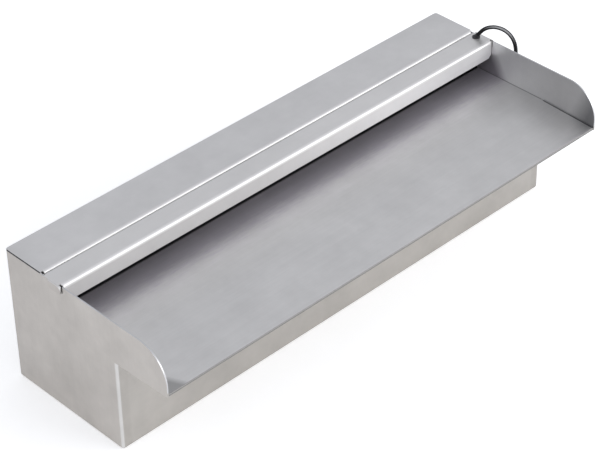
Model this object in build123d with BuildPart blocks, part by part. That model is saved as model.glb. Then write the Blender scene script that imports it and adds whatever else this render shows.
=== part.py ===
"""Stainless waterfall spillway: a sheet-metal basin that fills through a rear socket, spills over a
weir onto a long lip between two cheeks, and carries a lift-off light hood over the outlet slot.

Frame, in millimetres: +X runs along the spillway, water leaves towards -Y, +Z is up, and the
origin is the centre of the basin's underside.
"""

import os
from math import pi, radians, tan

from build123d import *

os.makedirs("parts", exist_ok=True)

# ---------------------------------------------------------------- driving dimensions
# basin
length = 600.0  # outer length over the two side plates
basin_depth = 157.0  # rear wall to front wall, outside
height = 157.0  # underside to the tops of the deck, hood and cheeks
sheet = 1.5  # stainless sheet thickness
bend_radius = 3.0  # outer radius of every folded basin corner
return_width = 12.0  # side-plate flanges folded round the corners
plate_play = 0.5  # play between an inner sheet's end and a side plate

# lip and cheeks
lip_reach = 71.5  # front wall to the lip's front edge
weir_level = 116.0  # top of the lip at the weir
lip_drop = 3.0  # fall of the lip from the front wall to its front edge
weir_y = 16.5  # weir edge, under the hood
weir_fold = 12.0  # down-turned edge behind the weir
hem_width = 11.0  # hem folded back under the lip's front edge
hem_round = 1.4  # outer radius of the hem's fold
cheek_radius = 36.0  # rounded top corner of each cheek
relief_drop = 8.5  # the corner bend stops this far below the weir and the cheek runs on

# deck
deck_front_y = 23.0  # front face of the deck's folded edge
deck_fold = 12.0  # depth of the folded edge
deck_notch = 3.4  # square corner relief at each end of the fold
edge_bend = 2.4  # outer bend radius of the deck, hood and lip edges

# light hood
hood_gap = 0.8  # hairline between the deck and the hood
hood_width = 27.7  # the hood's top, front to back
hood_flange = 20.0  # height of the front flange
hood_rear_flange = 11.0  # height of the rear flange
hood_corner = 4.0  # clipped lower corners of the front flange
cheek_play = 0.5  # between a cheek and the front flange
step_play = 1.0  # between the front flange and the cheek's step
ear_gap = 0.4  # between a side plate and the ear outside it
ear_height = 9.0
ear_length = 18.5  # the ear's run back from the hood's front
ear_corner = 3.0
ear_bend = 1.8
notch_width = 2.6  # corner notch where the side plate passes through the hood
notch_depth = 4.0
slot_depth = 6.0  # the matching slot in each side plate's top edge
strip_overlap = 1.0  # the hood's end strips run this far into their neighbours

# light strip under the hood
sleeve_width = 12.0
sleeve_height = 5.0
sleeve_wall = 0.9
sleeve_length = 540.0
sleeve_y = 7.0
spigot_length = 5.0  # how far the end caps plug into the sleeve
cap_length = 6.0
board_width = 9.0
board_thickness = 0.8
chip_length = 3.5
chip_width = 2.8
chip_height = 0.9
chip_pitch = 16.0
chip_count = 33
chips_per_resistor = 3
resistor_length = 2.0
resistor_width = 1.25
resistor_height = 0.5
clip_count = 5
clip_width = 8.0
clip_sheet = 0.6
clip_foot = 3.2

# cable
cable_diameter = 4.3
cable_inset = 7.0  # cable hole in from the outer end face
cable_hole_y = 12.5
cable_hole_radius = 3.2
grommet_radius = 4.4
grommet_flange = 1.3
grommet_play = 0.05
boss_radius = 2.6
coil_out = 42.0  # coil centre out from the right side plate
coil_y = 14.0
coil_mean_radius = 24.0
coil_turns = 7
coil_rows = 4  # turns side by side
coil_layers = 2  # turns on each other
coil_pitch = 4.4
arc_share = 0.45  # how much of its shorter run each corner's arc takes up

# connector on the cable's far end
boot_length = 16.0
boot_small_radius = 3.0
boot_large_radius = 5.8
boot_grooves = (0.25, 0.45, 0.65)  # shares of the boot's length
groove_width = 1.2
groove_depth = 0.5
grip_radius = 7.2
grip_length = 14.0
grip_chamfer = 1.0
neck_radius = 5.6
collar_radius = 8.2
collar_length = 10.0
collar_play = 0.08  # running fit of the collar on the neck
collar_ridges = 18
collar_ridge_radius = 0.7
barrel_radius = 5.2
barrel_bore_radius = 4.2
barrel_length = 8.0
lug_radius = 6.1  # ring that keeps the collar on
lug_length = 1.2
pin_radius = 0.9
pin_length = 5.8
pin_spacing = 3.6
seal_section = 0.8

# flow baffle and inlet
baffle_y = 40.0
baffle_height = 92.0
baffle_foot = 15.0
baffle_hole_radius = 4.0
baffle_pitch = 24.0
baffle_columns = 23
baffle_rows = 3
inlet_bore_radius = 15.1  # minor radius of a one-inch parallel pipe thread
inlet_wall = 4.9
inlet_length = 24.0
inlet_level = 46.0
inlet_weld = 3.0  # leg of the weld bead round the socket
weld_slope = 44.9  # degrees, so the bead just reaches the socket
inlet_hole_play = 1.0  # the rear wall's hole is this much wider than the bore
inlet_chamfer = 1.2

# ---------------------------------------------------------------- worked-out places
half = length / 2
inner_half = half - sheet  # inner face of each side plate
wrap_half = half - return_width  # joint between the wrap and a side plate's flanges
rear_y = basin_depth / 2
front_y = -basin_depth / 2
lip_front_y = front_y - lip_reach
seat_level = height - sheet  # wall tops, under the deck and the hood
lip_under = weir_level - sheet
relief_level = weir_level - relief_drop
lip_front_level = weir_level - lip_drop
hem_under = lip_front_level - 2 * sheet
hood_rear_y = deck_front_y - hood_gap
hood_front_y = hood_rear_y - hood_width
step_y = hood_front_y - step_play  # where the cheek steps up in front of the hood
hood_bottom = height - hood_flange
flange_half = inner_half - cheek_play
ear_inner = half + ear_gap
ear_outer = ear_inner + sheet
inner_bend = edge_bend - sheet
sleeve_bottom = seat_level - sleeve_height
sleeve_half = sleeve_length / 2
cavity_top = seat_level - sleeve_wall
cable_hole_x = half - cable_inset
cable_radius = cable_diameter / 2
inlet_outer_radius = inlet_bore_radius + inlet_wall

ends_low = (Align.MIN, Align.MIN, Align.MIN)
on_floor = (Align.CENTER, Align.CENTER, Align.MIN)


def save(part, name):
    """Label a finished piece and write it as its own STEP file."""
    part.label = name
    export_step(part, f"parts/{name}.step")


def small_edges(builder, axis, level, longest):
    """Edges along an axis whose middle is at that level and that are no longer than longest."""
    return builder.edges().filter_by(axis).filter_by(
        lambda e: abs(e.center().Z - level) < 0.01 and e.length < longest
    )


# ---------------------------------------------------------------- folded shell, a helper form
with BuildPart() as outer_form:
    Box(length, basin_depth, seat_level, align=on_floor)
    corners = outer_form.edges().filter_by(Axis.Z) + outer_form.edges().group_by(Axis.Z)[0]
    fillet(corners, bend_radius)

with BuildPart() as inner_form:
    with Locations((0, 0, sheet)):
        Box(length - 2 * sheet, basin_depth - 2 * sheet, height, align=on_floor)
    corners = inner_form.edges().filter_by(Axis.Z) + inner_form.edges().group_by(Axis.Z)[0]
    fillet(corners, bend_radius - sheet)

with BuildPart() as shell:
    add(outer_form.part)
    add(inner_form.part, mode=Mode.SUBTRACT)

# ---------------------------------------------------------------- basin wrap: front, floor and rear
with BuildPart() as basin_wrap:
    add(shell.part)
    Box(2 * wrap_half, 2 * basin_depth, 2 * height, mode=Mode.INTERSECT)
    with Locations((0, front_y, lip_under)):  # the front wall ends under the lip
        Box(length, basin_depth / 2, height, align=on_floor, mode=Mode.SUBTRACT)
    with Locations(Plane((0, rear_y, inlet_level), z_dir=(0, 1, 0))):
        Cylinder(inlet_bore_radius + inlet_hole_play, 4 * sheet, mode=Mode.SUBTRACT)
save(basin_wrap.part, "basin_wrap")

# ---------------------------------------------------------------- side plates with their cheeks
with BuildPart() as left_side_plate:
    add(shell.part)
    with Locations((-half, 0, 0)):
        Box(2 * return_width, 2 * basin_depth, 2 * height, mode=Mode.INTERSECT)
    with Locations((-half, front_y + bend_radius, relief_level)):  # the bend stops at the relief
        Box(3 * return_width, 4 * bend_radius, height,
            align=(Align.CENTER, Align.MAX, Align.MIN), mode=Mode.SUBTRACT)
    with BuildSketch(Plane.YZ.offset(-half)) as cheek:
        with BuildLine():
            Polyline(
                (front_y + bend_radius, relief_level),
                (lip_front_y, hem_under),
                (lip_front_y, height),
                (step_y, height),
                (step_y, seat_level),
                (front_y + bend_radius, seat_level),
                close=True,
            )
        make_face()
        fillet(cheek.vertices().group_by(Axis.X)[0].sort_by(Axis.Y)[-1], cheek_radius)
    extrude(amount=sheet)
    with Locations((-inner_half, front_y, relief_level)):  # flange above the bend, up to the lip
        Box(return_width - sheet, sheet, lip_under - relief_level, align=ends_low)
    with Locations((-half, step_y, seat_level)):  # slot at the foot of the step
        Box(4 * sheet, notch_depth, 2 * slot_depth, align=(Align.CENTER, Align.MIN, Align.CENTER),
            mode=Mode.SUBTRACT)
save(left_side_plate.part, "left_side_plate")

with BuildPart() as right_side_plate:
    mirror(left_side_plate.part, about=Plane.YZ)
save(right_side_plate.part, "right_side_plate")

# ---------------------------------------------------------------- spill lip
with BuildPart() as spill_lip:
    with BuildSketch(Plane.YZ.offset(-inner_half)) as lip_profile:
        with BuildLine():
            Polyline(
                (weir_y, weir_level - weir_fold),
                (weir_y, weir_level),
                (front_y, weir_level),
                (lip_front_y, lip_front_level),
                (lip_front_y, hem_under),
                (lip_front_y + hem_width, hem_under),
                (lip_front_y + hem_width, hem_under + sheet + lip_drop * hem_width / lip_reach),
                (front_y, lip_under),
                (weir_y - sheet, lip_under),
                (weir_y - sheet, weir_level - weir_fold),
                close=True,
            )
        make_face()
        ends = lip_profile.vertices().group_by(Axis.X)
        fillet(ends[0], hem_round)
        fillet(ends[-1].sort_by(Axis.Y)[-1], edge_bend)
        fillet(ends[-2].sort_by(Axis.Y)[-1], inner_bend)
    extrude(amount=2 * inner_half)
save(spill_lip.part, "spill_lip")

# ---------------------------------------------------------------- rear deck
with BuildPart() as rear_deck:
    fold_half = inner_half - plate_play
    with BuildSketch(Plane.YZ.offset(-fold_half)) as deck_profile:
        with BuildLine():
            Polyline(
                (rear_y, seat_level),
                (rear_y, height),
                (deck_front_y, height),
                (deck_front_y, height - deck_fold),
                (deck_front_y + sheet, height - deck_fold),
                (deck_front_y + sheet, seat_level),
                close=True,
            )
        make_face()
        columns = deck_profile.vertices().group_by(Axis.X)
        fillet(columns[0].sort_by(Axis.Y)[-1], edge_bend)
        fillet(columns[2].sort_by(Axis.Y)[-1], inner_bend)
    extrude(amount=2 * fold_half)
    for side in (-1, 1):
        with Locations((side * (fold_half + half) / 2, rear_y, seat_level)):
            Box(half - fold_half, rear_y - deck_front_y - deck_notch, sheet,
                align=(Align.CENTER, Align.MAX, Align.MIN))
        with Locations((side * half, deck_front_y, height)):
            Box(2 * deck_notch, 2 * deck_notch, 2 * edge_bend, mode=Mode.SUBTRACT)
    fillet(rear_deck.edges().filter_by(Axis.Z).group_by(Axis.Y)[-1], bend_radius)
save(rear_deck.part, "rear_deck")

# ---------------------------------------------------------------- light hood
with BuildPart() as light_hood:
    with BuildSketch(Plane.YZ.offset(-flange_half)) as channel:
        with BuildLine():
            Polyline(
                (hood_rear_y, height - hood_rear_flange),
                (hood_rear_y, height),
                (hood_front_y, height),
                (hood_front_y, hood_bottom),
                (hood_front_y + sheet, hood_bottom),
                (hood_front_y + sheet, seat_level),
                (hood_rear_y - sheet, seat_level),
                (hood_rear_y - sheet, height - hood_rear_flange),
                close=True,
            )
        make_face()
        tops = channel.vertices().group_by(Axis.Y)
        fillet(tops[-1], edge_bend)
        fillet(tops[-2], inner_bend)
    extrude(amount=2 * flange_half)
    for side in (-1, 1):
        with Locations((side * (flange_half + half) / 2, hood_front_y, seat_level)):
            Box(half - flange_half + 2 * strip_overlap, hood_width - edge_bend, sheet,
                align=(Align.CENTER, Align.MIN, Align.MIN))
        with BuildSketch(Plane.XZ.offset(-hood_front_y - ear_length)) as ear:
            with BuildLine():
                Polyline(
                    (side * (half - strip_overlap), seat_level),
                    (side * (half - strip_overlap), height),
                    (side * ear_outer, height),
                    (side * ear_outer, height - ear_height),
                    (side * ear_inner, height - ear_height),
                    (side * ear_inner, seat_level),
                    close=True,
                )
            make_face()
            outermost = ear.vertices().filter_by(lambda v: abs(abs(v.X) - ear_outer) < 0.01)
            fillet(outermost.sort_by(Axis.Y)[-1], ear_bend)
        extrude(amount=ear_length)
        with Locations((side * (ear_inner - notch_width / 2), hood_front_y, height)):
            Box(notch_width, 2 * notch_depth, 4 * sheet, mode=Mode.SUBTRACT)
    fillet(small_edges(light_hood, Axis.X, height - ear_height, 2 * sheet), ear_corner)
    chamfer(small_edges(light_hood, Axis.Y, hood_bottom, 2 * sheet), hood_corner)
    with Locations((cable_hole_x, cable_hole_y, height)):
        Cylinder(cable_hole_radius, 4 * sheet, mode=Mode.SUBTRACT)
save(light_hood.part, "light_hood")

# ---------------------------------------------------------------- flow baffle
with BuildPart() as flow_baffle:
    baffle_half = inner_half - bend_radius
    with Locations((0, baffle_y, sheet)):
        Box(2 * baffle_half, sheet, baffle_height, align=(Align.CENTER, Align.MAX, Align.MIN))
        Box(2 * baffle_half, baffle_foot, sheet, align=(Align.CENTER, Align.MAX, Align.MIN))
    fillet(flow_baffle.edges().filter_by(Axis.X).group_by(Axis.Y)[-1].group_by(Axis.Z)[0], edge_bend)
    with Locations(Plane((0, baffle_y, sheet + baffle_height / 2), z_dir=(0, 1, 0))):
        with GridLocations(baffle_pitch, baffle_pitch, baffle_columns, baffle_rows):
            Cylinder(baffle_hole_radius, 4 * sheet, mode=Mode.SUBTRACT)
save(flow_baffle.part, "flow_baffle")

# ---------------------------------------------------------------- inlet socket
with BuildPart() as inlet_socket:
    with BuildSketch(Plane((0, rear_y, inlet_level), z_dir=(0, 1, 0))):
        Circle(inlet_outer_radius)
    extrude(amount=inlet_length)
    with BuildSketch(Plane((0, rear_y, inlet_level), z_dir=(0, 1, 0))):
        Circle(inlet_outer_radius + inlet_weld)
    extrude(amount=inlet_weld, taper=weld_slope)
    chamfer(inlet_socket.edges().group_by(Axis.Y)[-1], inlet_chamfer)
    with Locations(Plane((0, rear_y, inlet_level), z_dir=(0, 1, 0))):
        Cylinder(inlet_bore_radius, 3 * inlet_length, mode=Mode.SUBTRACT)
save(inlet_socket.part, "inlet_socket")

# ---------------------------------------------------------------- light strip
with BuildPart() as led_sleeve:
    with BuildSketch(Plane.YZ.offset(-sleeve_half)):
        with Locations((sleeve_y, seat_level - sleeve_height / 2)):
            RectangleRounded(sleeve_width, sleeve_height, sleeve_wall)
            Rectangle(sleeve_width - 2 * sleeve_wall, sleeve_height - 2 * sleeve_wall,
                      mode=Mode.SUBTRACT)
    extrude(amount=sleeve_length)
save(led_sleeve.part, "led_sleeve")

with BuildPart() as led_board:
    with Locations((0, sleeve_y, cavity_top)):
        Box(sleeve_length - 2 * spigot_length, board_width, board_thickness,
            align=(Align.CENTER, Align.CENTER, Align.MAX))
save(led_board.part, "led_board")

board_under = cavity_top - board_thickness
with BuildPart() as led_chips:
    with Locations((0, sleeve_y, board_under)):
        with GridLocations(chip_pitch, 1, chip_count, 1):
            Box(chip_length, chip_width, chip_height,
                align=(Align.CENTER, Align.CENTER, Align.MAX))
save(led_chips.part, "led_chips")

with BuildPart() as led_resistors:
    with Locations((chip_pitch / 2, sleeve_y, board_under)):
        with GridLocations(chips_per_resistor * chip_pitch, 1, chip_count // chips_per_resistor, 1):
            Box(resistor_length, resistor_width, resistor_height,
                align=(Align.CENTER, Align.CENTER, Align.MAX))
save(led_resistors.part, "led_resistors")

spigot_width = sleeve_width - 2 * sleeve_wall
spigot_height = sleeve_height - 2 * sleeve_wall
sleeve_mid = seat_level - sleeve_height / 2

with BuildPart() as blind_end_cap:
    with Locations((-sleeve_half, sleeve_y, sleeve_mid)):
        Box(cap_length, sleeve_width, sleeve_height, align=(Align.MAX, Align.CENTER, Align.CENTER))
    fillet(blind_end_cap.edges().group_by(Axis.X)[0], sleeve_wall)
    with Locations((-sleeve_half, sleeve_y, sleeve_mid)):
        Box(spigot_length, spigot_width, spigot_height,
            align=(Align.MIN, Align.CENTER, Align.CENTER))
save(blind_end_cap.part, "blind_end_cap")

cable_cap_end = cable_hole_x + grommet_radius
cable_cap_front = sleeve_y - sleeve_width / 2
cable_cap_rear = cable_hole_y + grommet_radius
with BuildPart() as cable_end_cap:
    with Locations((sleeve_half, cable_cap_front, seat_level)):
        Box(cable_cap_end - sleeve_half, cable_cap_rear - cable_cap_front, sleeve_height,
            align=(Align.MIN, Align.MIN, Align.MAX))
    fillet(cable_end_cap.edges().group_by(Axis.X)[-1].filter_by(Axis.Z), grommet_radius)
    with Locations((sleeve_half, sleeve_y, sleeve_mid)):
        Box(spigot_length, spigot_width, spigot_height,
            align=(Align.MAX, Align.CENTER, Align.CENTER))
save(cable_end_cap.part, "cable_end_cap")

strap_front = sleeve_y - sleeve_width / 2
strap_rear = sleeve_y + sleeve_width / 2
with BuildPart() as sleeve_clips:
    for number in range(clip_count):
        centre = (number - (clip_count - 1) / 2) * (sleeve_length - 4 * cap_length) / clip_count
        with BuildSketch(Plane.YZ.offset(centre - clip_width / 2)):
            with BuildLine():
                Polyline(
                    (strap_front - clip_sheet - clip_foot, seat_level),
                    (strap_front, seat_level),
                    (strap_front, sleeve_bottom),
                    (strap_rear, sleeve_bottom),
                    (strap_rear, seat_level),
                    (strap_rear + clip_sheet + clip_foot, seat_level),
                    (strap_rear + clip_sheet + clip_foot, seat_level - clip_sheet),
                    (strap_rear + clip_sheet, seat_level - clip_sheet),
                    (strap_rear + clip_sheet, sleeve_bottom - clip_sheet),
                    (strap_front - clip_sheet, sleeve_bottom - clip_sheet),
                    (strap_front - clip_sheet, seat_level - clip_sheet),
                    (strap_front - clip_sheet - clip_foot, seat_level - clip_sheet),
                    close=True,
                )
            make_face()
        extrude(amount=clip_width)
save(sleeve_clips.part, "sleeve_clips")

# ---------------------------------------------------------------- cable
# Places along the lead, as (out from the right side plate, Y, Z): it climbs out of the hood, arches
# over the plate and drops to the floor beside it.
route = [
    (-6.1, 10.8, 160.4),
    (-4.3, 7.1, 166.6),
    (-1.3, 1.1, 171.6),
    (2.7, -7.0, 173.8),
    (7.2, -15.9, 171.6),
    (10.8, -23.1, 164.6),
    (12.8, -27.1, 153.8),
    (13.1, -27.6, 140.0),
    (12.6, -28.6, 118.0),
    (11.6, -30.2, 90.0),
    (11.2, -30.4, 60.0),
    (11.2, -29.0, 36.0),
    (11.4, -24.0, 18.0),
    (11.5, -14.5, 6.4),
    (11.6, -2.0, 2.3),
    (11.5, 13.0, 2.3),
]
# The tail leaves the top of the coil for the connector behind it.
tail = [
    (11.5, 15.0, 6.6),
    (11.8, 25.0, 6.9),
    (11.5, 36.0, 8.2),
    (11.5, 48.0, 8.2),
]


def beside_plate(points):
    """Points measured out from the right side plate, in the part's frame."""
    return [Vector(half + out, y, z) for out, y, z in points]


def corner_radii(points):
    """Each corner's arc radius: a share of its shorter run over the tangent of half the turn."""
    radii = []
    for before, here, after in zip(points, points[1:], points[2:]):
        run_in = here - before
        run_out = after - here
        turn = radians(run_in.get_angle(run_out))
        radii.append(arc_share * min(run_in.length, run_out.length) / tan(turn / 2))
    return radii


def first_run(points):
    """The plane at a route's start, facing along its first run."""
    return Plane(points[0], z_dir=points[1] - points[0])


def cable_along(points, name):
    """A round cable along straight runs joined by tangent arcs."""
    with BuildPart() as tube:
        with BuildLine() as line:
            FilletPolyline(*points, radius=corner_radii(points))
        with BuildSketch(first_run(points)):
            Circle(cable_radius)
        sweep()
    run = sum(edge.length for edge in line.edges())
    radii = ", ".join(f"{r:.0f}" for r in corner_radii(points))
    print(f"{name}: {run:.1f} mm, volume {tube.part.volume:.0f} of {run * pi * cable_radius**2:.0f}, "
          f"radii {radii}")
    save(tube.part, name)
    return run


route_points = beside_plate(route)
tail_points = beside_plate(tail)
route_run = cable_along(route_points, "led_cable")
tail_run = cable_along(tail_points, "cable_tail")

with BuildPart() as cable_grommet:
    with Locations((cable_hole_x, cable_hole_y, seat_level)):
        Cylinder(cable_hole_radius - grommet_play, sheet, align=on_floor)
    with Locations((cable_hole_x, cable_hole_y, height)):
        Cylinder(grommet_radius, grommet_flange, align=on_floor)
    fillet(cable_grommet.edges().group_by(Axis.Z)[-1], grommet_flange / 2)
    with BuildSketch(first_run(route_points)):  # the boss ends square to the cable
        Circle(boss_radius)
    extrude(amount=-2 * grommet_flange)
save(cable_grommet.part, "cable_grommet")

coil_wide = coil_pitch * (coil_rows - 1) / 2 + cable_radius
coil_high = coil_pitch * (coil_layers - 1) + cable_diameter
with BuildPart() as cable_coil:
    with BuildSketch():
        with Locations((half + coil_out, coil_y)):
            Circle(coil_mean_radius + coil_wide)
            Circle(coil_mean_radius - coil_wide, mode=Mode.SUBTRACT)
    extrude(amount=coil_high)
    fillet(cable_coil.edges(), cable_radius)
save(cable_coil.part, "cable_coil")
coil_run = 2 * pi * coil_mean_radius * coil_turns
print(f"cable in all: {route_run + tail_run + coil_run:.0f} mm")

# ---------------------------------------------------------------- connector
plug_x, boot_y, plug_z = tail_points[-1]
plug_axis = Axis((plug_x, 0, plug_z), (0, 1, 0))
grip_y = boot_y + boot_length
neck_y = grip_y + grip_length
lug_y = neck_y + collar_length + 2 * collar_play
barrel_y = lug_y + lug_length


def half_outline(points):
    """The face to turn about the connector's axis, from (place along it, radius) pairs."""
    with BuildSketch(Plane.YZ.offset(plug_x)) as outline:
        with BuildLine():
            Polyline(*[(y, plug_z + r) for y, r in points], close=True)
        make_face()
    return outline.sketch


with BuildPart() as plug_boot:
    cone = [(boot_y, 0), (boot_y, boot_small_radius), (grip_y, boot_large_radius), (grip_y, 0)]
    revolve(half_outline(cone), axis=plug_axis)
    for groove in boot_grooves:
        ring_radius = boot_small_radius + groove * (boot_large_radius - boot_small_radius)
        with BuildSketch(Plane((plug_x, boot_y + groove * boot_length, plug_z), z_dir=(0, 1, 0))):
            Circle(grip_radius)
            Circle(ring_radius - groove_depth, mode=Mode.SUBTRACT)
        extrude(amount=groove_width, mode=Mode.SUBTRACT)
save(plug_boot.part, "plug_boot")

with BuildPart() as plug_body:
    revolve(half_outline([
        (grip_y, 0),
        (grip_y, grip_radius - grip_chamfer),
        (grip_y + grip_chamfer, grip_radius),
        (neck_y, grip_radius),
        (neck_y, neck_radius),
        (lug_y, neck_radius),
        (lug_y, lug_radius),
        (barrel_y, lug_radius),
        (barrel_y, barrel_radius),
        (barrel_y + barrel_length, barrel_radius),
        (barrel_y + barrel_length, barrel_bore_radius),
        (barrel_y, barrel_bore_radius),
        (barrel_y, 0),
    ]), axis=plug_axis)
save(plug_body.part, "plug_body")

with BuildPart() as plug_collar:
    with BuildSketch(Plane((plug_x, neck_y + collar_play, plug_z), z_dir=(0, 1, 0))):
        Circle(collar_radius - collar_ridge_radius / 2)
        with PolarLocations(collar_radius - collar_ridge_radius, collar_ridges):
            Circle(collar_ridge_radius)
        Circle(neck_radius + collar_play, mode=Mode.SUBTRACT)
    extrude(amount=collar_length)
save(plug_collar.part, "plug_collar")

with BuildPart() as plug_pins:
    with Locations(Plane((plug_x, barrel_y, plug_z), z_dir=(0, 1, 0))):
        with GridLocations(pin_spacing, 1, 2, 1):
            Cylinder(pin_radius, pin_length, align=on_floor)
    fillet(plug_pins.edges().group_by(Axis.Y)[-1], pin_radius / 2)
save(plug_pins.part, "plug_pins")

with BuildPart() as plug_seal:
    with BuildSketch(Plane((plug_x, barrel_y, plug_z), z_dir=(0, 1, 0))):
        Circle(barrel_radius + seal_section)
        Circle(barrel_radius, mode=Mode.SUBTRACT)
    extrude(amount=seal_section)
save(plug_seal.part, "plug_seal")
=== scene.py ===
import math

import bmesh
import bpy
from mathutils import Matrix, Quaternion, Vector


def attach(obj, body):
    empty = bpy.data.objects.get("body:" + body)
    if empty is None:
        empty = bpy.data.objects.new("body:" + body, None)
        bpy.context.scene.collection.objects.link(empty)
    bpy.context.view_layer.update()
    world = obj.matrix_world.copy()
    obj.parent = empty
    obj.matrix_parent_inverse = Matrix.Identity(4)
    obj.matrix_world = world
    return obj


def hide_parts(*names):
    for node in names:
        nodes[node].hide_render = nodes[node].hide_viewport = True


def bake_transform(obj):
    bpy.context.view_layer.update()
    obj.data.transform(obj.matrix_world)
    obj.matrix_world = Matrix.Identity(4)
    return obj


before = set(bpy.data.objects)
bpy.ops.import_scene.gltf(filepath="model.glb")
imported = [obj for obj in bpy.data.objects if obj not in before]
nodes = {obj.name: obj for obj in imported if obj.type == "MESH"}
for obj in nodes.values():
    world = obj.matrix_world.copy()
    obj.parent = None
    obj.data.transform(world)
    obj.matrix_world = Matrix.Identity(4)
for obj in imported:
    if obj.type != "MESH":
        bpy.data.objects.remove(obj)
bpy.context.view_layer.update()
scene = bpy.context.scene
scene.view_settings.view_transform = "Standard"
print("frame loaded:", len(nodes), "nodes")

# camera
cameraPlace = {
    "spot": (-1.23064, -1.29820, 1.40157),
    "turn": -43.753,  # degrees about Z
    "tilt": 36.934,  # degrees above the horizon
    "roll": -1.0345,
    "lens": 130.28,
}


def placeCamera():
    turn, tilt, roll = (math.radians(cameraPlace[key]) for key in ("turn", "tilt", "roll"))
    back = Vector((math.sin(turn) * math.cos(tilt), -math.cos(turn) * math.cos(tilt), math.sin(tilt)))
    camera = bpy.data.objects.new("camera", bpy.data.cameras.new("camera"))
    scene.collection.objects.link(camera)
    camera.location = cameraPlace["spot"]
    camera.rotation_mode = "QUATERNION"
    camera.rotation_quaternion = back.to_track_quat("Z", "Y") @ Quaternion((0, 0, 1), roll)
    camera.data.lens = cameraPlace["lens"]
    camera.data.sensor_width = 36
    camera.data.clip_start = 0.05
    scene.camera = camera


placeCamera()
print("camera placed")


# shared makers
def linked(name, mesh):
    piece = bpy.data.objects.new(name, mesh)
    scene.collection.objects.link(piece)
    return piece


def pieceFrom(bm, name, smoothAngle=30):
    # faces out, smooth shading broken at edges sharper than smoothAngle
    bmesh.ops.recalc_face_normals(bm, faces=bm.faces)
    limit = math.radians(smoothAngle)
    for face in bm.faces:
        face.smooth = True
    for edge in bm.edges:
        edge.smooth = len(edge.link_faces) == 2 and edge.calc_face_angle(0) < limit
    mesh = bpy.data.meshes.new(name)
    bm.to_mesh(mesh)
    bm.free()
    return linked(name, mesh)


# light lead: one spline from the hood to the connector, in metres
lead = {
    "diameter": 0.0043,
    "sides": 20,
    "turns": 7,
    "pointsPerTurn": 16,
    "coilCentre": (0.342, 0.014),
    "outerTurn": 0.0306,
    "pitch": 0.0044,
    "lowLayer": 0.0022,
    "highLayer": 0.0066,
    "inward": (0.50, 0.97),  # share of each low turn in which it steps in
    "outward": (0.01, 0.35),  # share of each high turn in which it steps out
    "climb": (3.30, 3.56),  # turns at which the low layer rises to the high one
    "stretchFrom": 0.020,  # lowest height of the lead's stretch range, which runs up to stretchTo
    "stretchTo": 0.150,
}
# the part's own places along the lead; the coil takes over after the last one
leadRoute = [
    (0.2939, 0.0108, 0.1604),
    (0.2957, 0.0071, 0.1666),
    (0.2987, 0.0011, 0.1716),
    (0.3027, -0.0070, 0.1738),
    (0.3072, -0.0159, 0.1716),
    (0.3108, -0.0231, 0.1646),
    (0.3128, -0.0271, 0.1538),
    (0.3131, -0.0276, 0.1400),
    (0.3126, -0.0286, 0.1180),
    (0.3116, -0.0302, 0.0900),
    (0.3112, -0.0304, 0.0600),
    (0.3112, -0.0290, 0.0360),
    (0.3114, -0.0240, 0.0180),
    (0.3115, -0.0145, 0.0064),
    (0.3116, -0.0020, 0.0023),
]
leadTail = [
    (0.3118, 0.0250, 0.0069),
    (0.3115, 0.0360, 0.0082),
    (0.3115, 0.0480, 0.0082),
]


def eased(start, end, value):
    share = min(1.0, max(0.0, (value - start) / (end - start)))
    return share * share * (3 - 2 * share)


def coilPoints():
    # four turns inwards on the floor, then three outwards on top of them
    perTurn = lead["pointsPerTurn"]
    centreX, centreY = lead["coilCentre"]
    low, high = lead["lowLayer"], lead["highLayer"]
    points = []
    for step in range(lead["turns"] * perTurn + 1):
        turn = step / perTurn
        inward = sum(eased(n + lead["inward"][0], n + lead["inward"][1], turn) for n in (0, 1, 2))
        outward = sum(eased(n + lead["outward"][0], n + lead["outward"][1], turn) for n in (4, 5, 6))
        radius = (lead["outerTurn"] + lead["pitch"] * (outward - inward)) / math.cos(math.pi / perTurn)
        height = low + (high - low) * eased(*lead["climb"], turn)
        angle = math.pi - 2 * math.pi * turn
        points.append((centreX + radius * math.cos(angle), centreY + radius * math.sin(angle), height))
    return points


def leadCurve(name, bevel):
    curve = bpy.data.curves.new(name, "CURVE")
    curve.dimensions = "3D"
    curve.resolution_u = 8
    points = leadRoute + coilPoints() + leadTail
    spline = curve.splines.new("NURBS")
    spline.points.add(len(points) - 1)
    for slot, point in zip(spline.points, points):
        slot.co = (*point, 1)
    spline.order_u = 3
    spline.use_endpoint_u = True
    if bevel:
        curve.bevel_depth = lead["diameter"] / 2
        curve.bevel_resolution = lead["sides"] // 2 - 2
        curve.use_fill_caps = True
    return linked(name, curve)


def meshOf(curveObject):
    bpy.context.view_layer.update()
    evaluated = curveObject.evaluated_get(bpy.context.evaluated_depsgraph_get())
    mesh = bpy.data.meshes.new_from_object(evaluated)
    bpy.data.objects.remove(curveObject)
    return mesh


centreLine = [tuple(vertex.co) for vertex in meshOf(leadCurve("leadLine", False)).vertices]
leadPiece = linked("lightLead", meshOf(leadCurve("leadTube", True)))
for face in leadPiece.data.polygons:
    face.use_smooth = len(face.vertices) < 5
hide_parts("led_cable", "cable_coil", "cable_tail")
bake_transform(leadPiece)
print("lead made:", len(leadPiece.data.polygons), "faces")


# material helpers
def startMaterial(name):
    material = bpy.data.materials.new(name)
    material.use_nodes = True
    return material, material.node_tree, material.node_tree.nodes["Principled BSDF"]


def addNode(tree, kind, settings=None, **inputs):
    node = tree.nodes.new(kind)
    for key, value in (settings or {}).items():
        setattr(node, key, value)
    for key, value in inputs.items():
        socket = node.inputs[int(key[1:])] if key[0] == "i" and key[1:].isdigit() else node.inputs[key]
        if isinstance(value, bpy.types.NodeSocket):
            tree.links.new(value, socket)
        else:
            socket.default_value = value
    return node


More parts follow.
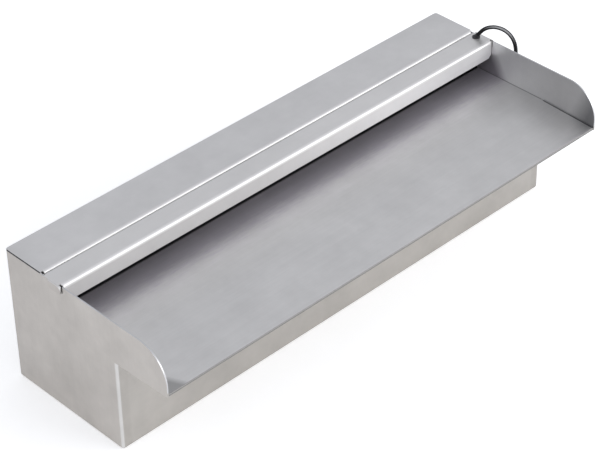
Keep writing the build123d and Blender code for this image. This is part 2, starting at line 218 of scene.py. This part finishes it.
def objectPlace(tree, scale=(1, 1, 1)):
    place = addNode(tree, "ShaderNodeTexCoord").outputs["Object"]
    return addNode(tree, "ShaderNodeMapping", Vector=place, Scale=scale).outputs[0]


def noise(tree, place, scale, detail=2.0, roughness=0.5):
    return addNode(
        tree, "ShaderNodeTexNoise", Vector=place, Scale=scale, Detail=detail, Roughness=roughness
    ).outputs["Fac"]


def ramped(tree, value, low, high, toLow=0.0, toHigh=1.0):
    return addNode(
        tree, "ShaderNodeMapRange", i0=value, i1=low, i2=high, i3=toLow, i4=toHigh
    ).outputs[0]


def maths(tree, operation, first, second=0.0, third=0.0):
    return addNode(
        tree, "ShaderNodeMath", {"operation": operation}, i0=first, i1=second, i2=third
    ).outputs[0]


def mixColour(tree, factor, first, second):
    node = tree.nodes.new("ShaderNodeMix")
    node.data_type = "RGBA"
    for index, value in ((0, factor), (6, first), (7, second)):
        if isinstance(value, bpy.types.NodeSocket):
            tree.links.new(value, node.inputs[index])
        else:
            node.inputs[index].default_value = (*value, 1) if isinstance(value, tuple) else value
    return node.outputs[2]


def bump(tree, height, distance, strength=1.0):
    return addNode(
        tree, "ShaderNodeBump", Height=height, Distance=distance, Strength=strength
    ).outputs[0]


# brushed stainless sheet
steelFinish = {
    "grainAcross": 2600.0,  # grain lines per metre, across the brushing
    "grainAlong": 28.0,
    "streakAcross": 420.0,
    "streakAlong": 9.0,
    "cloud": 16.0,
    "smudge": 68.8,
    "shortStreak": (55, 330, 55),  # breaks up the edge of a streaked zone
    "raggedEdge": 0.050,  # metres over which that edge wanders
    "grainDepth": 0.00004,
    "grainStrength": 0.35,
    "fineGloss": 0.12,  # how much each noise changes the roughness
    "broadGloss": 0.10,
    "cloudGloss": 0.08,
    "metal": 0.93,
    "edgeTint": 0.42,  # sheen left at a glancing view
    "anisotropy": 0.45,
}


def sloped(tree, place, weights, start, end, wobble=0.0):
    # 0 to 1 as the weighted sum of X, Y and Z goes from start to end
    total = addNode(tree, "ShaderNodeVectorMath", {"operation": "DOT_PRODUCT"}, i0=place, i1=weights)
    return ramped(tree, maths(tree, "ADD", total.outputs["Value"], wobble), start, end)


def brushedSheet(name, tone, brushing="X", rough=0.40, streaks=0.05, clouds=0.05, grain=0.07, zones=()):
    # each zone: tone, metal share, then masks of (P place, S place with streaked edge or N normal,
    # weights, start, end)
    material, tree, shader = startMaterial(name)
    across, along = steelFinish["grainAcross"], steelFinish["grainAlong"]
    wide, long = steelFinish["streakAcross"], steelFinish["streakAlong"]
    axis = "XYZ".index(brushing)
    fineScale = [across] * 3
    broadScale = [wide] * 3
    fineScale[axis], broadScale[axis] = along, long
    fine = noise(tree, objectPlace(tree, tuple(fineScale)), 1.0, 3.0, 0.65)
    broad = noise(tree, objectPlace(tree, tuple(broadScale)), 1.0, 2.0, 0.55)
    cloud = noise(tree, objectPlace(tree), steelFinish["cloud"], 3.0, 0.55)
    smudge = noise(tree, objectPlace(tree), steelFinish["smudge"], 2.0, 0.6)
    level = maths(tree, "MULTIPLY_ADD", fine, grain, 1 - grain / 2)
    level = maths(tree, "MULTIPLY_ADD", broad, streaks, maths(tree, "ADD", level, -streaks / 2))
    level = maths(tree, "MULTIPLY_ADD", cloud, clouds * 2, maths(tree, "ADD", level, -clouds))
    level = maths(tree, "MULTIPLY_ADD", smudge, clouds, maths(tree, "ADD", level, -clouds / 2))
    metal = steelFinish["metal"]
    colour = tone
    shortStreak = noise(tree, objectPlace(tree, steelFinish["shortStreak"]), 1.0, 4.0, 0.65)
    wander = steelFinish["raggedEdge"]
    ragged = maths(tree, "MULTIPLY_ADD", shortStreak, wander, -wander / 2)
    coords = addNode(tree, "ShaderNodeTexCoord")
    for zoneTone, zoneMetal, *masks in zones:
        share = 1.0
        for source, weights, start, end in masks:
            place = coords.outputs["Normal" if source == "N" else "Object"]
            wobble = ragged if source == "S" else 0.0
            share = maths(tree, "MULTIPLY", sloped(tree, place, weights, start, end, wobble), share)
        colour = mixColour(tree, share, colour, zoneTone)
        metal = maths(tree, "MULTIPLY_ADD", share, maths(tree, "SUBTRACT", zoneMetal, metal), metal)
    graded = addNode(tree, "ShaderNodeVectorMath", {"operation": "SCALE"}, i0=colour, Scale=level)
    tree.links.new(graded.outputs[0], shader.inputs["Base Color"])
    fineGloss, broadGloss, cloudGloss = (steelFinish[key + "Gloss"] for key in ("fine", "broad", "cloud"))
    gloss = maths(tree, "MULTIPLY_ADD", fine, fineGloss, rough - (fineGloss + broadGloss) / 2)
    gloss = maths(tree, "MULTIPLY_ADD", broad, broadGloss, gloss)
    gloss = maths(tree, "MULTIPLY_ADD", cloud, cloudGloss, maths(tree, "ADD", gloss, -cloudGloss / 2))
    tree.links.new(gloss, shader.inputs["Roughness"])
    relief = bump(tree, fine, steelFinish["grainDepth"], steelFinish["grainStrength"])
    tree.links.new(relief, shader.inputs["Normal"])
    if isinstance(metal, bpy.types.NodeSocket):
        tree.links.new(metal, shader.inputs["Metallic"])
    else:
        shader.inputs["Metallic"].default_value = metal
    shader.inputs["Specular Tint"].default_value = (*[steelFinish["edgeTint"]] * 3, 1)
    shader.inputs["Anisotropic"].default_value = steelFinish["anisotropy"]
    tangent = addNode(tree, "ShaderNodeTangent", {"direction_type": "RADIAL", "axis": brushing})
    tree.links.new(tangent.outputs[0], shader.inputs["Tangent"])
    return material


# each part's tone is set to the brightness and tint it shows under this light: the darker, warmer basin
# and side tones are painted shade with a painted warm reflection on the lower faces, and the paler lip,
# deck and hood tones are painted light on the faces turned up
sheetTones = {
    "basin": (0.460, 0.440, 0.416),
    "side": (0.540, 0.514, 0.488),
    "lip": (0.635, 0.626, 0.620),
    "deck": (0.675, 0.666, 0.662),
    "hood": (0.705, 0.694, 0.686),
    "baffle": (0.54, 0.54, 0.55),
    "shadow": (0.05, 0.05, 0.055),
    "cutEdge": (0.58, 0.58, 0.59),
    "bend": (0.84, 0.83, 0.82),
    "flange": (0.446, 0.426, 0.402),
}


def plateZones(side):
    # cut edges painted lighter for the light they catch (painted highlight), then the neutral inner face
    # above the bend
    return (
        (
            sheetTones["cutEdge"], 0.9, ("P", (side, 0, 0), 0.2982, 0.2984),
            ("N", (-1, 0, 0), -0.6, -0.3), ("N", (1, 0, 0), -0.6, -0.3),
        ),
        ((0.56, 0.555, 0.555), 0.9, ("N", (-side, 0, 0), 0.7, 0.9), ("P", (0, 0, 1), 0.105, 0.11)),
        # folded flange in the wall's tone, then a painted highlight along the front bend
        (sheetTones["flange"], 0.93, ("N", (0, -1, 0), 0.80, 0.95), ("P", (0, 0, -1), -0.116, -0.114)),
        ((0.60, 0.59, 0.58), 0.85, ("N", (side * 0.707, -0.707, 0), 0.78, 0.92)),
    )


rightZones = plateZones(1) + (
    # painted light on the inner face, lighter towards the hood, and painted shade darker at the front
    # corner
    ((0.86, 0.86, 0.86), 0.60, ("N", (-1, 0, 0), 0.7, 0.9), ("P", (0, 1, 0), -0.10, 0.0)),
    # painted shade under the hood's corner
    ((0.44, 0.42, 0.45), 0.85, ("N", (-1, 0, 0), 0.7, 0.9), ("P", (0, 1, -0.6), -0.102, -0.085)),
    ((0.24, 0.24, 0.245), 0.9, ("N", (-1, 0, 0), 0.7, 0.9), ("P", (0, -1, -0.4), 0.070, 0.092)),
)
lipZones = (
    # paler and cooler under the hood as painted light, a purple-grey painted reflection of the dark slot,
    # and a black painted shadow at the weir
    ((0.665, 0.65, 0.655), 0.80, ("S", (0, 1, 0), -0.050, -0.028)),
    ((0.56, 0.53, 0.575), 0.70, ("S", (0, 1, 0), -0.032, -0.010)),
    (sheetTones["shadow"], 0.8, ("P", (0, 1, 0), 0.0110, 0.0130)),
    # painted shadow of the left cheek on the lip's front corner, painted shade in the joints with the
    # cheeks, and painted shade on the hem edge
    ((0.36, 0.355, 0.35), 0.8, ("P", (-1, -0.52, 0), 0.3505, 0.3585), ("P", (0, 0, 1), 0.10, 0.11)),
    (sheetTones["shadow"], 0.5, ("P", (1, 0, 0), 0.2970, 0.2975), ("P", (0, -1, 0), 0.0800, 0.0815)),
    ((0.30, 0.30, 0.31), 0.8, ("P", (1, 0, 0), 0.2980, 0.2983)),
    ((0.22, 0.215, 0.21), 0.8, ("N", (0, -1, 0), 0.25, 0.55)),
)
hoodZones = (
    # the ears match the side plates' tone, painted shade for faces turned sideways; the flange front is
    # painted darker, with painted light towards its right end; the front bend carries a painted highlight
    (sheetTones["side"], 0.93, ("N", (-1, 0, 0), 0.80, 0.95)),
    (sheetTones["side"], 0.93, ("N", (1, 0, 0), 0.80, 0.95)),
    ((0.575, 0.566, 0.560), 0.93, ("N", (0, -1, 0), 0.8, 0.95)),
    ((0.78, 0.77, 0.77), 0.42, ("N", (0, -1, 0), 0.8, 0.95), ("P", (1, 0, 0), -0.05, 0.29)),
    (sheetTones["bend"], 0.8, ("P", (0, -1, 1), 0.1575, 0.1605)),
)
deckZones = (
    # painted highlight along the deck's front bend, then painted shade in the seam by the left side plate
    (sheetTones["bend"], 0.8, ("P", (0, -1, 1), 0.1295, 0.1325)),
    (sheetTones["shadow"], 0.7, ("P", (-1, 0, 0), 0.2995, 0.2999), ("P", (0, 0, 1), 0.150, 0.153)),
)


def finishNode(node, material):
    mesh = nodes[node].data
    mesh.materials.clear()
    mesh.materials.append(material)


sheetFinishes = {
    # node: material name, tone, then what differs from a plain brushed sheet
    "basin_wrap": ("frontWallSteel", "basin", {"clouds": 0.14}),
    "left_side_plate": ("leftPlateSteel", "side", {
        "brushing": "Z", "clouds": 0.16, "streaks": 0.10, "zones": plateZones(-1),
    }),
    "right_side_plate": ("rightPlateSteel", "side", {
        "brushing": "Z", "clouds": 0.12, "zones": rightZones,
    }),
    "spill_lip": ("lipSteel", "lip", {
        "rough": 0.42, "streaks": 0.11, "clouds": 0.10, "zones": lipZones,
    }),
    "rear_deck": ("deckSteel", "deck", {"rough": 0.46, "clouds": 0.09, "zones": deckZones}),
    "light_hood": ("hoodSteel", "hood", {"rough": 0.48, "clouds": 0.07, "zones": hoodZones}),
    "flow_baffle": ("baffleSteel", "baffle", {}),
}
for node, (name, tone, looks) in sheetFinishes.items():
    finishNode(node, brushedSheet(name, sheetTones[tone], **looks))
print("sheet finishes done")


# one finish for small pieces: a mottled tone with a fine grain
def plainFinish(
    name, colour, rough, metal=0.0, mottle=0.15, scale=400.0, depth=0.00003, stretch=(1, 1, 1)
):
    material, tree, shader = startMaterial(name)
    grain = noise(tree, objectPlace(tree, stretch), scale, 4.0, 0.6)
    cloud = noise(tree, objectPlace(tree), scale / 12, 2.0, 0.5)
    dark = tuple(channel * (1 - mottle) for channel in colour)
    light = tuple(min(1.0, channel * (1 + mottle)) for channel in colour)
    tree.links.new(mixColour(tree, cloud, dark, light), shader.inputs["Base Color"])
    tree.links.new(ramped(tree, grain, 0.3, 0.7, rough - 0.06, rough + 0.06), shader.inputs["Roughness"])
    tree.links.new(bump(tree, grain, depth, 0.5), shader.inputs["Normal"])
    shader.inputs["Metallic"].default_value = metal
    return material


# light strip: solder mask with traces and pads, chips with a round phosphor lens
lightStrip = {
    "pitch": 0.016,
    "centreY": 0.007,
    "lensRadius": 0.00115,
    "padHalf": (0.0029, 0.0013),  # along and across
    "traceAcross": (0.0028, 0.0037),  # inner and outer side, from the middle
    "traceShare": 0.35,
    "lineEdge": 0.0001,
    "lensEdge": 0.00006,
    "mask": (0.80, 0.80, 0.78),
    "pads": (0.70, 0.56, 0.30),
    "frame": (0.84, 0.84, 0.81),
    "lens": (0.90, 0.70, 0.16),
}


def lightStripFinish(name, ground, mark, lens=False):
    material, tree, shader = startMaterial(name)
    place = objectPlace(tree)
    split = addNode(tree, "ShaderNodeSeparateXYZ", Vector=place)
    pitch = lightStrip["pitch"]
    share = maths(tree, "FRACT", maths(tree, "MULTIPLY_ADD", split.outputs["X"], 1 / pitch, 0.5))
    along = maths(tree, "ABSOLUTE", maths(tree, "MULTIPLY_ADD", share, pitch, -pitch / 2))
    across = maths(tree, "ABSOLUTE", maths(tree, "SUBTRACT", split.outputs["Y"], lightStrip["centreY"]))
    if lens:
        squares = maths(tree, "ADD", maths(tree, "POWER", along, 2.0), maths(tree, "POWER", across, 2.0))
        rim = lightStrip["lensRadius"]
        marked = ramped(tree, maths(tree, "SQRT", squares), rim + lightStrip["lensEdge"], rim)
    else:
        edge = lightStrip["lineEdge"]
        padAlong, padAcross = lightStrip["padHalf"]
        inner, outer = lightStrip["traceAcross"]
        padLong = ramped(tree, along, padAlong, padAlong - edge)
        padWide = ramped(tree, across, padAcross, padAcross - edge)
        pads = maths(tree, "MULTIPLY", padLong, padWide)
        traceIn = ramped(tree, across, inner, inner + edge)
        traceOut = ramped(tree, across, outer, outer - edge)
        trace = maths(tree, "MULTIPLY", traceIn, traceOut)
        marked = maths(tree, "MAXIMUM", pads, maths(tree, "MULTIPLY", trace, lightStrip["traceShare"]))
    cloud = noise(tree, place, 260.0, 3.0, 0.6)
    grain = noise(tree, place, 1400.0, 2.0, 0.5)
    tone = mixColour(tree, marked, ground, mark)
    wear = ramped(tree, cloud, 0.2, 0.8, 0.88, 1.08)
    worn = addNode(tree, "ShaderNodeVectorMath", {"operation": "SCALE"}, i0=tone, Scale=wear)
    tree.links.new(worn.outputs[0], shader.inputs["Base Color"])
    tree.links.new(ramped(tree, marked, 0.0, 1.0, 0.50, 0.30), shader.inputs["Roughness"])
    height = maths(tree, "MULTIPLY_ADD", grain, 0.3, marked)
    tree.links.new(bump(tree, height, 0.00004, 0.5), shader.inputs["Normal"])
    return material


# the lead's black sheath, with a painted highlight on the side that faces the way given
sheath = {
    "black": (0.006, 0.006, 0.007),
    "paintedHighlight": (0.36, 0.36, 0.365),
    "highlightFacing": (-0.62, -0.50, 0.60),
    "highlightFrom": 0.84,
    "highlightFull": 0.97,
}


def sheathFinish():
    material, tree, shader = startMaterial("leadSheath")
    coords = addNode(tree, "ShaderNodeTexCoord")
    scuff = noise(tree, coords.outputs["Object"], 700.0, 3.0, 0.6)
    facing = sloped(
        tree, coords.outputs["Normal"], sheath["highlightFacing"], sheath["highlightFrom"], sheath["highlightFull"]
    )
    paintedHighlight = maths(tree, "MULTIPLY", facing, ramped(tree, scuff, 0.2, 0.6, 0.6, 1.0))
    tone = mixColour(tree, paintedHighlight, sheath["black"], sheath["paintedHighlight"])
    tree.links.new(tone, shader.inputs["Base Color"])
    tree.links.new(ramped(tree, scuff, 0.3, 0.7, 0.38, 0.52), shader.inputs["Roughness"])
    tree.links.new(bump(tree, scuff, 0.00003, 0.4), shader.inputs["Normal"])
    shader.inputs["Specular IOR Level"].default_value = 0.22
    return material


leadPiece.data.materials.clear()
leadPiece.data.materials.append(sheathFinish())

smallFinishes = {
    # material name: tone, roughness, then what differs from a plain finish, and its nodes
    "softBoot": ((0.025, 0.025, 0.027), 0.55, {}, ("plug_boot", "cable_grommet")),
    "texturedNylon": (
        (0.03, 0.03, 0.033), 0.48, {"scale": 900.0, "depth": 0.00006}, ("plug_body", "plug_collar"),
    ),
    "pinBrass": ((0.80, 0.62, 0.32), 0.25, {"metal": 1.0}, ("plug_pins",)),
    "sealRubber": ((0.25, 0.03, 0.02), 0.5, {}, ("plug_seal",)),
    "capSilicone": ((0.72, 0.73, 0.72), 0.5, {}, ("blind_end_cap", "cable_end_cap")),
    "springSteel": ((0.6, 0.6, 0.6), 0.35, {"metal": 1.0}, ("sleeve_clips",)),
    "clearSleeve": ((0.92, 0.94, 0.95), 0.14, {"mottle": 0.03, "depth": 0.00001}, ("led_sleeve",)),
    "chipCeramic": ((0.05, 0.05, 0.055), 0.45, {}, ("led_resistors",)),
}
sleeveClearness = 0.92
for name, (tone, rough, looks, owners) in smallFinishes.items():
    finish = plainFinish(name, tone, rough, **looks)
    for owner in owners:
        finishNode(owner, finish)
sleeveShader = nodes["led_sleeve"].data.materials[0].node_tree.nodes["Principled BSDF"]
sleeveShader.inputs["Transmission Weight"].default_value = sleeveClearness
finishNode("led_board", lightStripFinish("boardWhite", lightStrip["mask"], lightStrip["pads"]))
finishNode("led_chips", lightStripFinish("phosphor", lightStrip["frame"], lightStrip["lens"], lens=True))
print("small finishes done")


# inlet socket: turned steel with a cut thread and a rippled weld round its foot
socketSize = {
    "level": 0.046,
    "foot": 0.0785,  # outside of the rear wall
    "length": 0.024,
    "crest": 0.0151,
    "root": 0.0164,
    "pitch": 0.002309,
    "outer": 0.020,
    "mouth": 0.0176,
    "chamfer": 0.0012,
    "footRing": 0.003,
    "leadIn": 0.0018,
    "leadInSlope": 0.8,
    "stepsPerTurn": 48,
    "weldLeg": 0.003,
    "weldSink": 0.0004,
    "weldSwell": 0.00022,
    "weldRipples": 46,
}


def spunProfile(bm, points, steps, closed=False):
    ring = [bm.verts.new((radius, 0, height)) for radius, height in points]
    pairs = list(zip(ring, ring[1:] + ring[:1] if closed else ring[1:]))
    edges = [bm.edges.new(pair) for pair in pairs]
    full = 2 * math.pi
    bmesh.ops.spin(
        bm, geom=ring + edges, cent=(0, 0, 0), axis=(0, 0, 1), angle=full, steps=steps, use_merge=True
    )


def cutThread(bm):
    crest, root, pitch, length = (socketSize[key] for key in ("crest", "root", "pitch", "length"))
    turns = math.ceil(length / pitch) + 4
    # one pitch of the thread, then spun up from two pitches below the foot and cut to length
    shares = ((0.0, crest), (0.17, crest), (0.42, root), (0.58, root), (0.83, crest), (1.0, crest))
    ring = [bm.verts.new((radius, 0, (share - 2) * pitch)) for share, radius in shares]
    edges = [bm.edges.new(pair) for pair in zip(ring, ring[1:])]
    steps = turns * socketSize["stepsPerTurn"]
    bmesh.ops.spin(
        bm, geom=ring + edges, cent=(0, 0, 0), axis=(0, 0, 1), dvec=(0, 0, pitch * turns / steps),
        angle=2 * math.pi * turns, steps=steps,
    )
    bmesh.ops.remove_doubles(bm, verts=bm.verts, dist=1e-6)
    for height, side in ((0.0, -1), (length, 1)):
        everything = bm.verts[:] + bm.edges[:] + bm.faces[:]
        bmesh.ops.bisect_plane(
            bm, geom=everything, dist=1e-7, plane_co=(0, 0, height), plane_no=(0, 0, side),
            clear_outer=True,
        )
    for vert in bm.verts:  # lead-in at the mouth
        over = max(0.0, vert.co.z - length + socketSize["leadIn"])
        radius = vert.co.xy.length
        wanted = max(radius, crest + socketSize["leadInSlope"] * over) if over else radius
        vert.co.xy *= wanted / radius


def makeSocket():
    length, outer, mouth, chamfer = (socketSize[key] for key in ("length", "outer", "mouth", "chamfer"))
    bm = bmesh.new()
    cutThread(bm)
    spunProfile(bm, (
        (mouth, length), (outer - chamfer, length), (outer, length - chamfer),
        (outer, socketSize["footRing"]), (outer, 0.0), (mouth, 0.0),
    ), 96)
    for height in (0.0, length):
        loop = [
            edge for edge in bm.edges
            if len(edge.link_faces) == 1 and all(abs(vert.co.z - height) < 1e-6 for vert in edge.verts)
        ]
        bmesh.ops.bridge_loops(bm, edges=loop)
    place = Matrix.Translation((0, socketSize["foot"], socketSize["level"]))
    toRear = place @ Matrix.Rotation(-math.pi / 2, 4, "X")
    bm.transform(toRear)
    body = pieceFrom(bm, "inletSocket", 24)
    bm = bmesh.new()
    leg, ripples = socketSize["weldLeg"], socketSize["weldRipples"]
    inside = outer - socketSize["weldSink"]
    spunProfile(bm, (
        (inside, 0.0), (outer + leg, 0.0), (outer + 0.72 * leg, 0.36 * leg),
        (outer + 0.36 * leg, 0.72 * leg), (outer, leg), (inside, leg),
    ), 4 * ripples, closed=True)
    for vert in bm.verts:
        if vert.co.z > 1e-5 and vert.co.xy.length > outer + 1e-5:
            swell = socketSize["weldSwell"] * math.cos(ripples * math.atan2(vert.co.y, vert.co.x))
            vert.co.xy *= 1 + swell / vert.co.xy.length
            vert.co.z += swell
    bm.transform(toRear)
    weld = pieceFrom(bm, "socketWeld", 50)
    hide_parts("inlet_socket")
    for piece in (body, weld):
        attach(piece, "basin")
    body.data.materials.append(plainFinish(
        "turnedSteel", (0.60, 0.60, 0.60), 0.32, 1.0, depth=0.00004, scale=60.0, stretch=(1, 60, 1),
    ))
    weld.data.materials.append(weldSteel)


# straight weld beads at the sheet joints, the same at both ends
weldBeads = {
    # joint: distance out from the middle, start and end as (Y, Z), half width, rise share, ripple pitch
    "rearJoint": (0.288, (0.0785, 0.0035), (0.0785, 0.1530), 0.0015, 0.30, 0.0016),
    "lipJoint": (0.2984, (0.0110, 0.1160), (-0.0780, 0.1160), 0.0005, 0.9, 0.0012),
}


def weldFinish():
    # grey crown with straw and blue heat tint
    material, tree, shader = startMaterial("weldSteel")
    place = objectPlace(tree)
    patch = noise(tree, place, 90.0, 3.0, 0.6)
    fleck = noise(tree, place, 1500.0, 3.0, 0.6)
    straw = mixColour(tree, ramped(tree, patch, 0.42, 0.60), (0.40, 0.395, 0.39), (0.50, 0.42, 0.31))
    tint = mixColour(tree, ramped(tree, patch, 0.62, 0.75), straw, (0.28, 0.30, 0.38))
    tree.links.new(tint, shader.inputs["Base Color"])
    tree.links.new(ramped(tree, fleck, 0.3, 0.7, 0.30, 0.48), shader.inputs["Roughness"])
    tree.links.new(bump(tree, fleck, 0.00004, 0.6), shader.inputs["Normal"])
    shader.inputs["Metallic"].default_value = 0.95
    return material


def makeBead(name, finish, start, end, halfWidth, rise, ripple):
    start, end = Vector(start), Vector(end)
    run = (end - start).length
    bm = bmesh.new()
    bmesh.ops.create_cone(
        bm, cap_ends=True, segments=12, radius1=halfWidth, radius2=halfWidth, depth=run
    )
    long = [edge for edge in bm.edges if abs(edge.verts[0].co.z - edge.verts[1].co.z) > run / 2]
    bmesh.ops.subdivide_edges(bm, edges=long, cuts=int(run / ripple * 4), use_grid_fill=True)
    for vert in bm.verts:
        taper = min(1.0, max(0.0, (run / 2 - abs(vert.co.z)) / (2 * halfWidth)))
        swell = 0.35 + 0.65 * math.sqrt(taper * (2 - taper))
        vert.co.xy *= swell * (1 + 0.10 * math.sin(2 * math.pi * vert.co.z / ripple))
        vert.co.y *= rise
    turn = (end - start).to_track_quat("Z", "Y").to_matrix().to_4x4()
    bm.transform(Matrix.Translation((start + end) / 2) @ turn)
    bead = pieceFrom(bm, name, 50)
    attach(bead, "basin")
    bead.data.materials.append(finish)


weldSteel = weldFinish()
makeSocket()
# the lip-joint beads are ground welds in a dark tone, painted shade for the dark seam between lip and
# cheek
shadedGroundJoint = plainFinish("shadedGroundJoint", (0.31, 0.31, 0.315), 0.42, 0.9)
beadFinishes = {"rearJoint": weldSteel, "lipJoint": shadedGroundJoint}
for joint, (out, start, end, *section) in weldBeads.items():
    for word, side in (("Left", -1), ("Right", 1)):
        makeBead(joint + word, beadFinishes[joint], (side * out, *start), (side * out, *end), *section)
print("socket and welds made")


# floor and light
studio = {
    "floorSize": 14.0,
    "floorDrop": 0.0002,  # keeps the floor clear of what stands on it
    "floorTone": (0.93, 0.93, 0.93),
    "floorGlow": 0.34,
    "skyTone": (0.93, 0.95, 1.0),
    "skyStrength": 0.78,
}
softboxes = {
    # name: spot, aimed at, width, height, watts
    "frontBox": ((1.25, -1.7, 0.98), (0.05, -0.05, 0.14), 2.4, 1.5, 26.0),
    "cornerStrip": ((-1.25, -1.25, 0.45), (-0.3, -0.08, 0.06), 0.25, 0.9, 3.0),
}


def makeFloor():
    bm = bmesh.new()
    bmesh.ops.create_grid(bm, x_segments=4, y_segments=4, size=studio["floorSize"] / 2)
    floor = pieceFrom(bm, "studioFloor")
    floor.data.transform(Matrix.Translation((0, 0, -studio["floorDrop"])))
    material, tree, shader = startMaterial("palePaper")
    fibre = noise(tree, objectPlace(tree), 60.0, 3.0, 0.6)
    tone = studio["floorTone"]
    dim = tuple(channel * 0.985 for channel in tone)
    tree.links.new(mixColour(tree, fibre, dim, tone), shader.inputs["Base Color"])
    shader.inputs["Roughness"].default_value = 0.9
    shader.inputs["Specular IOR Level"].default_value = 0.1
    shader.inputs["Emission Color"].default_value = (1, 1, 1, 1)
    shader.inputs["Emission Strength"].default_value = studio["floorGlow"]
    floor.data.materials.append(material)


def lightStudio():
    world = bpy.data.worlds.new("softStudio")
    world.use_nodes = True
    background = world.node_tree.nodes["Background"]
    background.inputs["Color"].default_value = (*studio["skyTone"], 1)
    background.inputs["Strength"].default_value = studio["skyStrength"]
    scene.world = world
    for name, (spot, aim, width, height, watts) in softboxes.items():
        lamp = bpy.data.lights.new(name, "AREA")
        lamp.shape = "RECTANGLE"
        lamp.size, lamp.size_y = width, height
        lamp.energy = watts
        holder = bpy.data.objects.new(name, lamp)
        scene.collection.objects.link(holder)
        holder.location = spot
        holder.rotation_mode = "QUATERNION"
        holder.rotation_quaternion = (Vector(aim) - Vector(spot)).to_track_quat("-Z", "Y")


makeFloor()
lightStudio()
print("studio lit")
